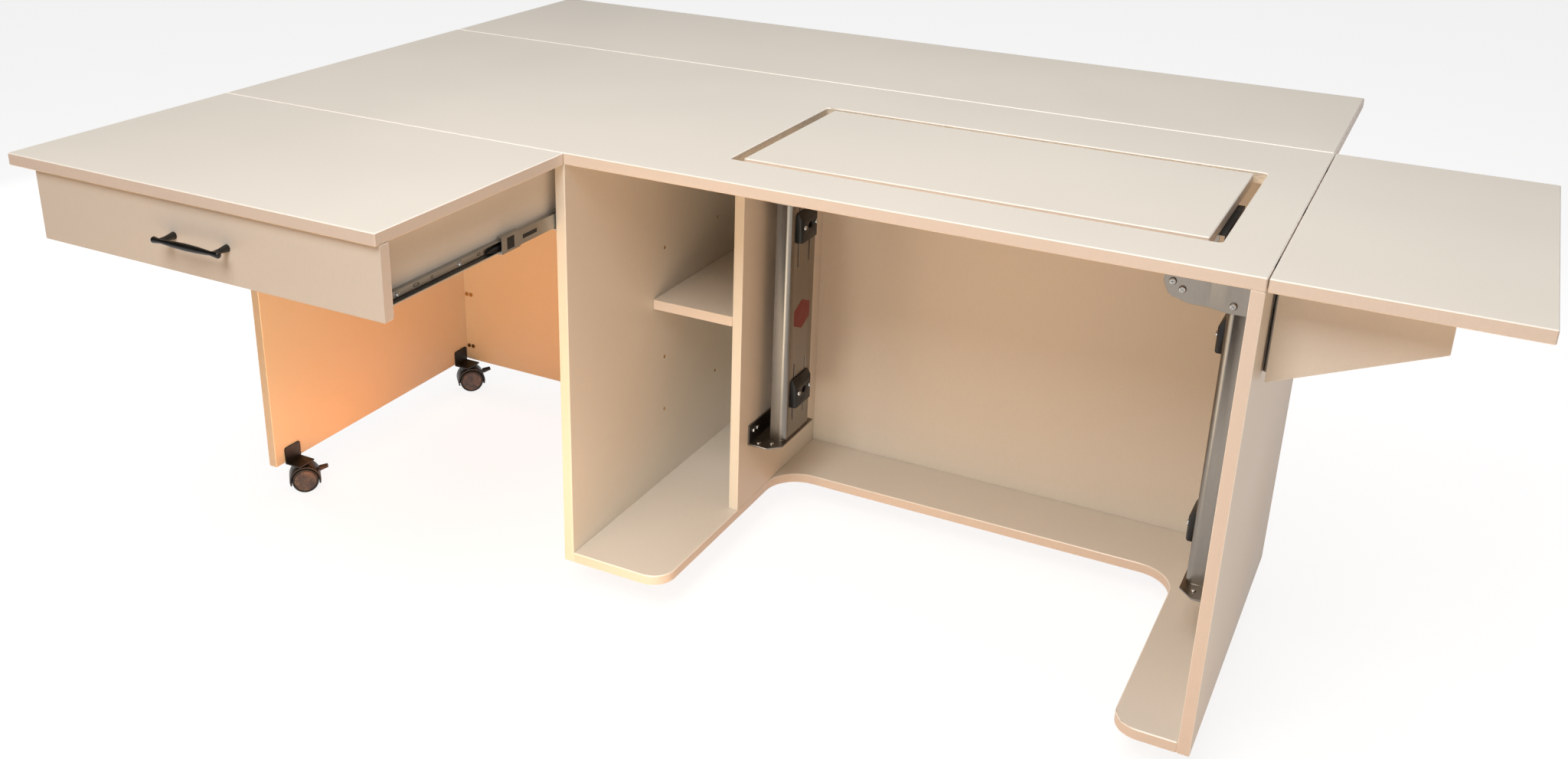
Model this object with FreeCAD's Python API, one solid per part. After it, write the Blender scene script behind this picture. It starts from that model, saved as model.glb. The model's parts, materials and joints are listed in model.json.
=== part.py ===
import FreeCAD, Part
import math
import os
from FreeCAD import Vector

# Sizes in millimetres. While building, x runs from the left end of the worktop,
# y from its front edge towards the back, and z up from the floor.

# Facets of round pieces, from fine pins to wheels
fine_sides = 12
small_sides = 16
round_sides = 24
wheel_sides = 24
cut_spare = 1.0

# Worktop and leaves
table_height = 790.0
top_thick = 19.0
leaf_seam = 2.0
front_leaf_length = 699.0
front_leaf_depth = 432.0
back_leaf_depth = 420.0
right_leaf_length = 320.0
rest_gap = 0.3

# Machine opening and the platform that fills it
opening_length = 735.0
opening_depth = 364.0
opening_bay_gap = 54.0
opening_end_margin = 75.0
opening_front = 106.0
opening_back_margin = 172.0
opening_round = 8.0
platform_gap_left = 18.0
platform_gap_right = 19.0
platform_gap_front = 3.0
platform_gap_back = 13.0

# Carcass panels
panel_thick = 18.0
carcass_lift = 62.0
left_inset = 5.0
back_overhang = 34.0
bay_width = 159.0
bay_setback = 266.0
right_foot_width = 98.0
back_strip_depth = 158.0
foot_round = 40.0
kneehole_round = 65.0

# Adjustable shelf and its pin holes
shelf_drop = 335.0
shelf_side_gap = 0.5
pin_radius = 2.5
pin_length = 16.0
pin_seat_depth = 9.0
pin_fit = 0.1
pin_pitch = 105.5
pin_front_inset = 41.0
pin_rear_inset = 87.0
pin_rows = (1, 0, -1, -2)

# Knock-down fittings in the left corner
fitting_radius = 4.5
fitting_proud = 1.2
fitting_spacing = 11.0
fitting_corner_gap = 3.0
fitting_heights = (33.0, 156.0)

# Drawer
cleat_thick = 18.0
cleat_height = 90.0
slide_space = 12.7
drawer_front_gap = 5.0
drawer_front_height = 110.0
drawer_front_thick = 18.0
drawer_front_setback = 8.5
drawer_side_thick = 15.0
drawer_side_drop = 5.0
drawer_length = 460.0
drawer_bottom_thick = 8.0
drawer_bottom_rise = 8.0
drawer_groove = 6.0
drawer_travel = 405.0

# Drawer handle
handle_centres = 102.0
handle_overhang = 13.0
handle_reach = 27.0
handle_neck_shift = 4.0
handle_end_radius = 5.0
handle_neck_radius = 3.2
handle_middle_radius = 5.4
post_base_radius = 6.0
post_neck_radius = 3.6

# Ball-bearing slides
slide_metal = 1.2
slide_length = 450.0
slide_front_inset = 2.0
slide_outer_height = 32.0
slide_outer_reach = 9.0
slide_middle_height = 23.0
slide_middle_back = 1.7
slide_middle_reach = 9.6
slide_middle_length = 380.0
slide_middle_lag = 63.5
slide_inner_height = 18.0
slide_inner_back = 4.0
slide_inner_start = 15.0
slide_ball_gap = 0.2
slide_race_length = 90.0
slide_race_inset = 12.0
slide_race_width = 5.0
slide_ratio = 0.5

# Concealed hinges mortised into the edges of the front and right leaves
mortise_length = 44.0
mortise_depth = 22.0
mortise_height = 11.0
mortise_fit = 0.1
mortise_end_margin = 80.0
front_hinge_count = 4
right_hinge_count = 3

# Butt hinges of the back leaf
hinge_metal = 2.0
hinge_length = 60.0
hinge_leaf_width = 30.0
knuckle_radius = 4.0
knuckle_count = 3
knuckle_gap = 0.3
knuckle_drop = 0.2
hinge_pin_radius = 2.0
hinge_pin_fit = 0.1
back_hinge_margin = 90.0
back_hinge_count = 4

# Folding stays of the back leaf
stay_count = 2
stay_margin = 330.0
stay_wall_offset = 22.0
stay_wall_drop = 230.0
stay_leaf_offset = 170.0
stay_leaf_drop = 10.0
stay_wall_link = 176.0
stay_metal = 3.0
stay_half_width = 8.0
stay_side_gap = 0.3
stay_pin_radius = 3.0
stay_pin_fit = 0.1
stay_rivet_head = 1.5
stay_plate_length = 60.0
stay_plate_width = 28.0

# Swing-out wing under the right leaf
wing_length = 211.0
wing_root_height = 158.0
wing_tip_height = 71.0
wing_front = 90.0
wing_gap = 7.0
wing_hinge_width = 26.0
wing_hinge_metal = 1.2
wing_knuckle_radius = 3.0
wing_knuckle_count = 3
wing_hinge_margin = 8.0

# Lift posts and their carriages
post_gap = 25.0
post_depth = 30.0
post_width = 105.0
post_metal = 2.0
post_round = 12.0
post_lip = 12.0
post_floor_gap = 120.0
post_bay_inset = 74.0
post_stagger = 110.0
foot_metal = 3.0
foot_front_reach = 40.0
foot_back_reach = 5.0
foot_side_reach = 4.0
foot_flange = 35.0
foot_chamfer = 22.0
carriage_side_gap = 4.0
carriage_thick = 16.0
carriage_width = 60.0
carriage_top_gap = 6.0
pad_reach = 21.0
pad_height = 64.0
pad_end_gap = 0.5
lug_drop = 111.0
lug_height = 80.0
lug_width = 30.0

# Platform arms
arm_metal = 2.5
arm_drop = 123.0
arm_reach = 72.0
arm_post_gap = 3.5
arm_step = 10.0
arm_step_length = 26.0
arm_flange = 45.0
arm_round = 16.0
arm_neck_drop = 26.0
arm_side_gap = 11.0

# Gas springs inside the posts
gas_offset = 85.0
gas_radius = 9.0
gas_bore = 6.0
gas_spare = 30.0
gas_end = 6.0
gas_rod_radius = 4.0
gas_fit = 0.3
gas_ear_height = 12.0
gas_rod_overlap = 20.0

# Adjustable stops clamped over slots in the posts
stop_width = 65.0
stop_height = 67.0
stop_thick = 11.0
stop_chamfer = 6.0
stop_ramp = 18.0
stop_lip = 2.0
stop_gap = 0.2
stop_centre = 50.0
stop_upper_share = 0.704
stop_lower_share = 0.154
stop_slot_width = 4.0
stop_slot_length = 110.0
stop_slot_drop = 20.0
stop_bolt_spacing = 44.0
stop_bolt_radius = 1.7
stop_nut_radius = 4.5
stop_nut_height = 4.0
stop_hole_radius = 8.0

# Casters
caster_margin = 43.0
caster_offset = 15.0
caster_bracket_width = 40.0
caster_bracket_height = 31.0
caster_bracket_round = 5.0
caster_bracket_reach = 36.0
caster_metal = 3.0
caster_plate = 46.0
caster_base_front = 130.0
caster_base_back = 73.0
caster_base_left = 91.0
caster_heading = 45.0
caster_trail = 9.0
wheel_radius = 25.0
wheel_width = 14.5
wheel_web = 8.0
wheel_side_gap = 0.5
wheel_edge = 3.0
axle_radius = 3.0
axle_fit = 0.1
hood_wall = 3.0
hood_gap = 1.5
hood_side_inset = 1.0
hood_skirt = 8.0
stem_radius = 5.0
stem_fit = 0.1
neck_radius = 11.0
neck_gap = 0.4
brake_angle = 28.0
brake_barrel = 3.2
brake_width = 12.0
brake_reach = 14.0
brake_gap = 0.4

# Levels and places that follow from the sizes
under_top = table_height - top_thick
top_depth = opening_front + opening_depth + opening_back_margin
carcass_back = top_depth - back_overhang
back_panel_front = carcass_back - panel_thick
left_face = left_inset + panel_thick
partition_right = front_leaf_length
partition_left = partition_right - panel_thick
bay_right = partition_right + bay_width
bay_outer = bay_right + panel_thick
opening_left = bay_outer + opening_bay_gap
opening_right = opening_left + opening_length
opening_back = opening_front + opening_depth
top_length = opening_right + opening_end_margin
right_face = top_length - panel_thick
base_top = carcass_lift + panel_thick
kneehole_front = carcass_back - back_strip_depth
right_foot_left = right_face - right_foot_width
leaf_front = -leaf_seam - front_leaf_depth
leaf_back = top_depth + leaf_seam + back_leaf_depth
leaf_right = top_length + leaf_seam + right_leaf_length
pin_front = bay_setback + pin_front_inset
pin_rear = back_panel_front - pin_rear_inset
post_bottom = base_top + post_floor_gap
post_length = under_top - post_bottom
left_post_front = bay_setback + post_bay_inset
right_post_front = left_post_front - post_stagger
stop_upper = post_bottom + post_length * stop_upper_share
stop_lower = post_bottom + post_length * stop_lower_share
pad_top = stop_upper - stop_nut_radius - pad_end_gap
pad_low = pad_top - pad_height
lift_travel = pad_low - stop_lower - stop_nut_radius - pad_end_gap
gas_length = lift_travel + gas_spare

X = Vector(1, 0, 0)
Y = Vector(0, 1, 0)
Z = Vector(0, 0, 1)
nodes = {}


def block(x0, x1, y0, y1, z0, z1):
    """A box between two corners."""
    return Part.makeBox(x1 - x0, y1 - y0, z1 - z0, Vector(x0, y0, z0))


def drum(sections, start, along, sides):
    """A round solid with flat facets, through rings given as distance and radius."""
    side = along.cross(X if abs(along.z) > 0.9 else Z).normalize()
    up = along.cross(side)
    turns = [2 * math.pi * i / sides for i in range(sides)]
    rings = [[start + along * place + side * (radius * math.cos(turn))
              + up * (radius * math.sin(turn)) for turn in turns] for place, radius in sections]
    outlines = [rings[0], rings[-1]]
    for low, high in zip(rings, rings[1:]):
        outlines += [[low[i - 1], low[i], high[i], high[i - 1]] for i in range(sides)]
    faces = [Part.Face(Part.makePolygon(points + [points[0]])) for points in outlines]
    return Part.Solid(Part.Shell(faces))


def rod(radius, start, along, length, sides=small_sides):
    """A round bar from a point along a direction."""
    return drum([(0, radius), (length, radius)], start, along, sides)


def prism(points, along):
    """A closed outline of points pushed along a vector."""
    wire = Part.makePolygon(points + [points[0]])
    return Part.Face(wire).extrude(along)


def bar(start, end, half_width, along):
    """A flat link with rounded ends between two points, pushed along a vector."""
    run = (end - start).normalize() * half_width
    side = run.cross(along).normalize() * half_width
    half = small_sides // 2
    turns = [math.pi * (i / half - 0.5) for i in range(half + 1)]
    curve = [run * math.cos(turn) + side * math.sin(turn) for turn in turns]
    return prism([end + step for step in curve] + [start - step for step in curve], along)


def round_edges(solid, radius, spots, along):
    """Round the straight edges that run along an axis through the given spots."""
    chosen = []
    for edge in solid.Edges:
        ends = [v.Point for v in edge.Vertexes]
        if len(ends) != 2:
            continue
        run = ends[1] - ends[0]
        if run.Length < 1e-6 or abs(run.normalize().dot(along)) < 0.999:
            continue
        for spot in spots:
            off = ends[0] - spot
            if (off - along * off.dot(along)).Length < 1e-3:
                chosen.append(edge)
    return solid.makeFillet(radius, chosen)


def spread(start, end, count):
    """Even places from start to end."""
    step = (end - start) / (count - 1)
    return [start + step * i for i in range(count)]


def fuse(shapes):
    """One solid from touching shapes."""
    return shapes[0].multiFuse(shapes[1:]).removeSplitter()


def hinge_body(place, along, spare):
    """One half of a concealed hinge, from a place on the edge into the board."""
    out = X if along.x == 0 else Y
    half = mortise_length / 2 + spare
    low = place - out * half - Z * (mortise_height / 2 + spare)
    size = out * (2 * half) + along * (mortise_depth + spare)
    ends = [low, low + size]
    return block(min(p.x for p in ends), max(p.x for p in ends), min(p.y for p in ends),
                 max(p.y for p in ends), low.z, low.z + mortise_height + 2 * spare)


def mortised(board, places, along):
    """A board with a mortise for each concealed hinge."""
    return board.cut(Part.makeCompound([hinge_body(place, along, mortise_fit)
                                        for place in places]))


# Worktop, leaves and concealed hinges
hinge_level = table_height - top_thick / 2
front_places = [Vector(x, 0, hinge_level)
                for x in spread(mortise_end_margin, front_leaf_length - mortise_end_margin,
                                front_hinge_count)]
right_places = [Vector(top_length, y, hinge_level)
                for y in spread(mortise_end_margin, top_depth - mortise_end_margin,
                                right_hinge_count)]
front_leaf_places = [place - Y * leaf_seam for place in front_places]
right_leaf_places = [place + X * leaf_seam for place in right_places]
none = Vector(0, 0, 0)

opening = block(opening_left, opening_right, opening_front, opening_back,
                under_top - cut_spare, table_height + cut_spare)
opening_corners = [Vector(x, y, 0) for x in (opening_left, opening_right)
                   for y in (opening_front, opening_back)]
opening = round_edges(opening, opening_round, opening_corners, Z)
main_top = block(0, top_length, 0, top_depth, under_top, table_height).cut(opening)
main_top = mortised(main_top, front_places, Y)
nodes["main_top"] = mortised(main_top, right_places, -X)
nodes["top_hinge_bodies"] = Part.makeCompound(
    [hinge_body(place, Y, 0) for place in front_places]
    + [hinge_body(place, -X, 0) for place in right_places])

front_leaf = block(0, front_leaf_length, leaf_front, -leaf_seam, under_top, table_height)
nodes["front_leaf"] = mortised(front_leaf, front_leaf_places, -Y)
nodes["front_leaf_hinges"] = Part.makeCompound(
    [hinge_body(place, -Y, 0) for place in front_leaf_places])
right_leaf = block(top_length + leaf_seam, leaf_right, 0, top_depth, under_top, table_height)
nodes["right_leaf"] = mortised(right_leaf, right_leaf_places, X)
nodes["right_leaf_hinges"] = Part.makeCompound(
    [hinge_body(place, X, 0) for place in right_leaf_places])
nodes["back_leaf"] = block(0, top_length, top_depth + leaf_seam, leaf_back, under_top,
                           table_height)

platform_left = opening_left + platform_gap_left
platform_right = opening_right - platform_gap_right
nodes["lift_platform"] = block(platform_left, platform_right,
                               opening_front + platform_gap_front,
                               opening_back - platform_gap_back,
                               under_top, table_height)

# Carcass panels
shelf_top = table_height - shelf_drop
shelf_bottom = shelf_top - panel_thick
pin_level = shelf_bottom - pin_radius


def pin_holes(x, along):
    """Blind holes in two columns for the shelf pins."""
    return Part.makeCompound(
        [rod(pin_radius + pin_fit, Vector(x, y, pin_level + pin_pitch * row), along,
             pin_seat_depth + pin_fit, fine_sides)
         for y in (pin_front, pin_rear) for row in pin_rows])


nodes["left_end_panel"] = block(left_inset, left_face, 0, carcass_back, carcass_lift, under_top)
partition = block(partition_left, partition_right, 0, carcass_back, carcass_lift, under_top)
nodes["drawer_partition"] = partition.cut(pin_holes(partition_right, -X))
bay_panel = block(bay_right, bay_outer, bay_setback, back_panel_front, base_top, under_top)
nodes["bay_partition"] = bay_panel.cut(pin_holes(bay_right, X))
nodes["right_end_panel"] = block(right_face, top_length, 0, carcass_back, carcass_lift, under_top)
nodes["main_back_panel"] = block(partition_right, right_face, back_panel_front, carcass_back,
                                 base_top, under_top)

base = block(partition_right, right_face, 0, carcass_back, carcass_lift, base_top)
kneehole_cut = block(bay_outer, right_foot_left, -foot_round, kneehole_front,
                     carcass_lift - cut_spare, base_top + cut_spare)
kneehole_corners = [Vector(x, kneehole_front, 0) for x in (bay_outer, right_foot_left)]
base = base.cut(round_edges(kneehole_cut, kneehole_round, kneehole_corners, Z))
foot_corners = [Vector(x, 0, 0) for x in (bay_outer, right_foot_left)]
nodes["base_panel"] = round_edges(base, foot_round, foot_corners, Z)

nodes["adjustable_shelf"] = block(partition_right + shelf_side_gap, bay_right - shelf_side_gap,
                                  bay_setback, back_panel_front, shelf_bottom, shelf_top)
shelf_pins = []
for y in (pin_front, pin_rear):
    shelf_pins.append(rod(pin_radius, Vector(partition_right - pin_seat_depth, y, pin_level),
                          X, pin_length, fine_sides))
    shelf_pins.append(rod(pin_radius, Vector(bay_right + pin_seat_depth, y, pin_level),
                          -X, pin_length, fine_sides))
nodes["shelf_pins"] = Part.makeCompound(shelf_pins)

# Left back panel with its knock-down fittings
nodes["left_back_panel"] = block(left_face, partition_left, back_panel_front, carcass_back,
                                 carcass_lift, under_top)
fittings = []
for i in range(2):
    for height in fitting_heights:
        x = left_face + fitting_corner_gap + fitting_radius + fitting_spacing * i
        place = Vector(x, back_panel_front, carcass_lift + height)
        fittings.append(rod(fitting_radius, place, -Y, fitting_proud))
nodes["cam_fittings"] = Part.makeCompound(fittings)

# Drawer
drawer_face = leaf_front + drawer_front_setback
drawer_front_back = drawer_face + drawer_front_thick
drawer_top = under_top - rest_gap
drawer_low = drawer_top - drawer_front_height
drawer_left = left_face + cleat_thick + slide_space
drawer_front_left = left_face + cleat_thick + drawer_front_gap
drawer_right = partition_left - slide_space
drawer_end = drawer_front_back + drawer_length
side_top = drawer_top - drawer_side_drop
bottom_low = drawer_low + drawer_bottom_rise
bottom_high = bottom_low + drawer_bottom_thick
inner_left = drawer_left + drawer_side_thick
inner_right = drawer_right - drawer_side_thick

drawer_bottom = block(inner_left - drawer_groove, inner_right + drawer_groove,
                      drawer_front_back - drawer_groove, drawer_end, bottom_low, bottom_high)
drawer_boards = {
    "drawer_front": block(drawer_front_left, partition_right, drawer_face, drawer_front_back,
                          drawer_low, drawer_top),
    "drawer_left_side": block(drawer_left, inner_left, drawer_front_back, drawer_end,
                              drawer_low, side_top),
    "drawer_right_side": block(inner_right, drawer_right, drawer_front_back, drawer_end,
                               drawer_low, side_top),
}
for name, board in drawer_boards.items():
    nodes[name] = board.cut(drawer_bottom)
nodes["drawer_back"] = block(inner_left, inner_right, drawer_end - drawer_side_thick,
                             drawer_end, bottom_high, side_top)
nodes["drawer_bottom"] = drawer_bottom

# Drawer handle: a turned bar on two flared posts
handle_middle = Vector((drawer_front_left + partition_right) / 2, drawer_face,
                       (drawer_low + drawer_top) / 2)
bar_half = handle_centres / 2 + handle_overhang
bar_line = handle_middle - Y * handle_reach
bar_taper = [(0, handle_end_radius * 0.7), (handle_overhang * 0.15, handle_end_radius),
             (handle_overhang + handle_neck_shift, handle_neck_radius),
             (bar_half * 0.65, handle_middle_radius * 0.9), (bar_half, handle_middle_radius)]
bar_sections = bar_taper + [(2 * bar_half - place, radius)
                            for place, radius in reversed(bar_taper[:-1])]
handle = [drum(bar_sections, bar_line - X * bar_half, X, small_sides)]
for side in (-1, 1):
    foot = handle_middle + X * (side * handle_centres / 2)
    handle.append(drum([(0, post_base_radius), (handle_reach * 0.6, post_neck_radius),
                        (handle_reach, post_neck_radius)], foot, -Y, small_sides))
nodes["drawer_handle"] = fuse(handle)

# Ball-bearing slides, drawn for the right side with depth d from the cabinet panel
slide_level = drawer_low + slide_outer_height / 2
closed_front = slide_front_inset


def channel(back, reach, height, web_at_back):
    """Section of a slide member as a folded strip, in depth and height."""
    half = height / 2
    inner = half - slide_metal
    web = back if web_at_back else reach
    step = slide_metal if web_at_back else -slide_metal
    lip = reach if web_at_back else back
    return [(lip, half), (web, half), (web, -half), (lip, -half), (lip, -inner),
            (web + step, -inner), (web + step, inner), (lip, inner)]


def member(section, start, length, panel_x, inwards):
    """A slide member as its section pushed along the drawer's travel."""
    points = [Vector(panel_x + inwards * d, start, slide_level + h) for d, h in section]
    return prism(points, Y * length)


def race(half_low, half_high, start, panel_x, inwards):
    """A pair of ball rows above and below a slide member."""
    rows = []
    middle = panel_x + inwards * (slide_middle_back + slide_middle_reach) / 2
    for side in (-1, 1):
        levels = sorted((slide_level + side * half_low, slide_level + side * half_high))
        rows.append(block(middle - slide_race_width / 2, middle + slide_race_width / 2,
                          start, start + slide_race_length, levels[0], levels[1]))
    return rows


middle_start = closed_front + slide_middle_lag - slide_front_inset - drawer_travel * slide_ratio
inner_start = drawer_front_back + slide_inner_start
outer_section = channel(0, slide_outer_reach, slide_outer_height, True)
middle_section = channel(slide_middle_back, slide_middle_reach, slide_middle_height, True)
inner_section = channel(slide_inner_back, slide_space, slide_inner_height, False)
slide_sides = {"left": (left_face + cleat_thick, 1), "right": (partition_left, -1)}
outer_members = []
middle_members = []
inner_members = []
for panel_x, inwards in slide_sides.values():
    outer_members.append(member(outer_section, closed_front, slide_length, panel_x, inwards))
    inner_members.append(member(inner_section, inner_start, slide_length, panel_x, inwards))
    middle_end = middle_start + slide_middle_length
    rows = race(slide_middle_height / 2 - slide_metal, slide_inner_height / 2 + slide_ball_gap,
                middle_start + slide_race_inset, panel_x, inwards)
    rows += race(slide_middle_height / 2, slide_outer_height / 2 - slide_metal - slide_ball_gap,
                 middle_end - slide_race_inset - slide_race_length, panel_x, inwards)
    middle_members.append(fuse([member(middle_section, middle_start, slide_middle_length,
                                       panel_x, inwards)] + rows))
nodes["slide_outers"] = Part.makeCompound(outer_members)
nodes["slide_middles"] = Part.makeCompound(middle_members)
nodes["slide_inners"] = Part.makeCompound(inner_members)
nodes["slide_cleat"] = block(left_face, left_face + cleat_thick, closed_front,
                             closed_front + slide_length, slide_level - cleat_height / 2,
                             slide_level + cleat_height / 2)

# Back leaf: butt hinges with interleaved knuckles
back_axis = Vector(0, top_depth + leaf_seam / 2, under_top - knuckle_radius - knuckle_drop)


def butt_hinge(low, along, length, count, radius, plates):
    """The pinned half and the other half of a hinge, from a plate for each."""
    pitch = length / count
    inset = knuckle_gap / 2
    knuckles = [[], []]
    clear = [[], []]
    for i in range(count):
        start = low + along * (pitch * i)
        knuckles[i % 2].append(rod(radius, start + along * inset, along, pitch - knuckle_gap,
                                   fine_sides))
        clear[1 - i % 2].append(rod(radius + knuckle_gap, start - along * inset, along,
                                    pitch + knuckle_gap, fine_sides))
    halves = [fuse([plates[k].cut(Part.makeCompound(clear[k]))] + knuckles[k]) for k in (0, 1)]
    pin = rod(hinge_pin_radius, low, along, length, fine_sides)
    pin_hole = rod(hinge_pin_radius + hinge_pin_fit, low, along, length, fine_sides)
    return fuse([halves[0], pin]), halves[1].cut(pin_hole)


hinge_pairs = []
for x in spread(back_hinge_margin, top_length - back_hinge_margin, back_hinge_count):
    low = back_axis + X * (x - hinge_length / 2)
    plates = [block(low.x, low.x + hinge_length, y, y + hinge_leaf_width,
                    under_top - hinge_metal, under_top)
              for y in (back_axis.y - hinge_leaf_width, back_axis.y)]
    hinge_pairs.append(butt_hinge(low, X, hinge_length, knuckle_count, knuckle_radius, plates))
nodes["back_hinges_fixed"] = Part.makeCompound([pair[0] for pair in hinge_pairs])
nodes["back_hinges_moving"] = Part.makeCompound([pair[1] for pair in hinge_pairs])

# Back leaf: folding stays, each of two flat links side by side
stay_wall = back_axis + Vector(0, -stay_wall_offset, -stay_wall_drop)
stay_leaf = back_axis + Vector(0, stay_leaf_offset, -stay_leaf_drop)
stay_run = (stay_leaf - stay_wall).normalize()
stay_elbow = stay_wall + stay_run * stay_wall_link
stay_pitch = stay_metal + stay_side_gap
stay_sheet = X * stay_metal
stay_pin = X * (stay_pitch + stay_metal)
wall_plates = []
wall_links = []
leaf_links = []
leaf_plates = []
for x in spread(stay_margin, top_length - stay_margin, stay_count):
    layer = [X * (x + stay_pitch * i) for i in range(4)]
    half = stay_plate_width / 2
    span = stay_plate_length / 2
    hole = stay_pin_radius + stay_pin_fit
    wall_plates.append(fuse([
        block(x - half, x + half, carcass_back, carcass_back + hinge_metal,
              stay_wall.z - span, stay_wall.z + span),
        block(x, x + stay_metal, carcass_back, stay_wall.y, stay_wall.z - stay_half_width,
              stay_wall.z + stay_half_width),
        rod(stay_half_width, stay_wall + layer[0], X, stay_metal),
        rod(stay_pin_radius, stay_wall + layer[0], X, stay_pitch + stay_metal)]))
    wall_link = bar(stay_wall + layer[1], stay_elbow + layer[1], stay_half_width, stay_sheet)
    rivet = rod(stay_pin_radius + stay_rivet_head, stay_elbow + layer[1], -X,
                stay_rivet_head)
    wall_links.append(fuse([wall_link, rivet]).cut(rod(hole, stay_wall + layer[1], X, stay_metal)))
    leaf_link = bar(stay_elbow + layer[2], stay_leaf + layer[2], stay_half_width, stay_sheet)
    eyes = [rod(hole, stay_elbow + layer[2], X, stay_metal),
            rod(hole, stay_leaf + layer[2], X, stay_metal)]
    leaf_links.append(leaf_link.cut(Part.makeCompound(eyes)))
    side = layer[3].x
    leaf_plates.append(fuse([
        block(side - half, side + half, stay_leaf.y - span, stay_leaf.y + span,
              under_top - hinge_metal, under_top),
        block(side, side + stay_metal, stay_leaf.y - stay_half_width,
              stay_leaf.y + stay_half_width, stay_leaf.z, under_top),
        rod(stay_half_width, stay_leaf + layer[3], X, stay_metal),
        rod(stay_pin_radius, stay_leaf + layer[2], X, stay_pitch + stay_metal)]))
nodes["stay_wall_plates"] = Part.makeCompound(wall_plates)
nodes["stay_wall_links"] = Part.makeCompound(wall_links)
nodes["stay_leaf_links"] = Part.makeCompound(leaf_links)
nodes["stay_leaf_plates"] = Part.makeCompound(leaf_plates)

# Wing under the right leaf, on an upright hinge
wing_back = wing_front + panel_thick
wing_root = top_length + wing_gap
wing_axis = Vector(top_length + wing_gap / 2, wing_back + wing_gap / 2, 0)
wing_top = under_top - rest_gap
wing_low = wing_top - wing_root_height
wing_outline = [Vector(wing_root, wing_front, wing_top),
                Vector(wing_root + wing_length, wing_front, wing_top),
                Vector(wing_root + wing_length, wing_front, wing_top - wing_tip_height),
                Vector(wing_root, wing_front, wing_low)]
nodes["support_wing"] = prism(wing_outline, Y * panel_thick)
wing_hinge_low = wing_low + wing_hinge_margin
wing_hinge_high = wing_top - wing_hinge_margin
wing_plates = [block(top_length, top_length + wing_hinge_metal, wing_axis.y,
                     wing_axis.y + wing_hinge_width, wing_hinge_low, wing_hinge_high),
               block(wing_axis.x, wing_axis.x + wing_hinge_width, wing_back,
                     wing_back + wing_hinge_metal, wing_hinge_low, wing_hinge_high)]
wing_hinge = butt_hinge(wing_axis + Z * wing_hinge_low, Z, wing_hinge_high - wing_hinge_low,
                        wing_knuckle_count, wing_knuckle_radius, wing_plates)
nodes["wing_hinge_fixed"], nodes["wing_hinge_moving"] = wing_hinge

# Lift posts, drawn with x as the distance from the panel and y from the post's front
web_face = post_gap + post_depth
web_inner = web_face - post_metal
post_shell = round_edges(block(post_gap, web_face, 0, post_width, post_bottom, under_top),
                         post_round, [Vector(web_face, y, 0) for y in (0, post_width)], Z)
post_core = block(post_gap + post_metal, web_inner, post_metal, post_width - post_metal,
                  post_bottom, under_top)
post_core = round_edges(post_core, post_round - post_metal,
                        [Vector(web_inner, y, 0)
                         for y in (post_metal, post_width - post_metal)], Z)
post_mouth = block(0, post_gap + post_metal, post_lip, post_width - post_lip, post_bottom,
                   under_top)
bolt_rows = [stop_centre - stop_bolt_spacing / 2, stop_centre + stop_bolt_spacing / 2]
stop_slots = [block(web_inner - cut_spare, web_face + cut_spare, y - stop_slot_width / 2,
                    y + stop_slot_width / 2, level - stop_slot_length / 2,
                    level + stop_slot_length / 2)
              for y in bolt_rows for level in (stop_upper - stop_slot_drop, stop_lower)]
foot_far = web_face + foot_side_reach
foot_low = post_bottom - foot_metal
foot_outline = [Vector(0, -foot_front_reach, foot_low),
                Vector(foot_far - foot_chamfer, -foot_front_reach, foot_low),
                Vector(foot_far, -foot_front_reach + foot_chamfer, foot_low),
                Vector(foot_far, post_width + foot_back_reach, foot_low),
                Vector(0, post_width + foot_back_reach, foot_low)]
foot_upright = block(0, foot_metal, -foot_front_reach, post_width + foot_back_reach,
                     foot_low, post_bottom + foot_flange)
post = fuse([post_shell.cut(Part.makeCompound([post_core, post_mouth] + stop_slots)),
             prism(foot_outline, Z * foot_metal), foot_upright])

# Carriage that runs inside each post, with its follower pad between the stops
carriage_near = post_gap + carriage_side_gap
carriage_far = carriage_near + carriage_thick
carriage_end = post_lip + carriage_width
lug_low = under_top - lug_drop
lug_start = arm_side_gap + arm_metal
lug_front = post_lip + carriage_side_gap
gas_line = Vector((carriage_near + carriage_far) / 2, gas_offset, 0)
gas_top = post_bottom + gas_length
ear_low = gas_top + lift_travel + gas_fit
carriage = fuse([
    block(carriage_near, carriage_far, post_lip, carriage_end, pad_low,
          under_top - carriage_top_gap),
    block(carriage_near, carriage_near + pad_reach, post_lip, carriage_end, pad_low, pad_top),
    block(lug_start, carriage_near, lug_front, lug_front + lug_width, lug_low,
          lug_low + lug_height),
    block(carriage_near, carriage_far, carriage_end, gas_offset + gas_rod_radius + post_metal,
          ear_low, ear_low + gas_ear_height)])

# Gas springs
gas_tube = rod(gas_radius, gas_line + Z * post_bottom, Z, gas_length)
gas_chamber = rod(gas_bore, gas_line + Z * (post_bottom + gas_end), Z, gas_length - 2 * gas_end)
gas_neck = rod(gas_rod_radius + gas_fit, gas_line + Z * (gas_top - gas_end), Z, gas_end)
gas_cylinder = gas_tube.cut(fuse([gas_chamber, gas_neck]))
piston_low = gas_top - gas_rod_overlap
gas_rod = fuse([rod(gas_rod_radius, gas_line + Z * piston_low, Z, ear_low - piston_low),
                rod(gas_bore - gas_fit, gas_line + Z * piston_low, Z, gas_end)])

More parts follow.
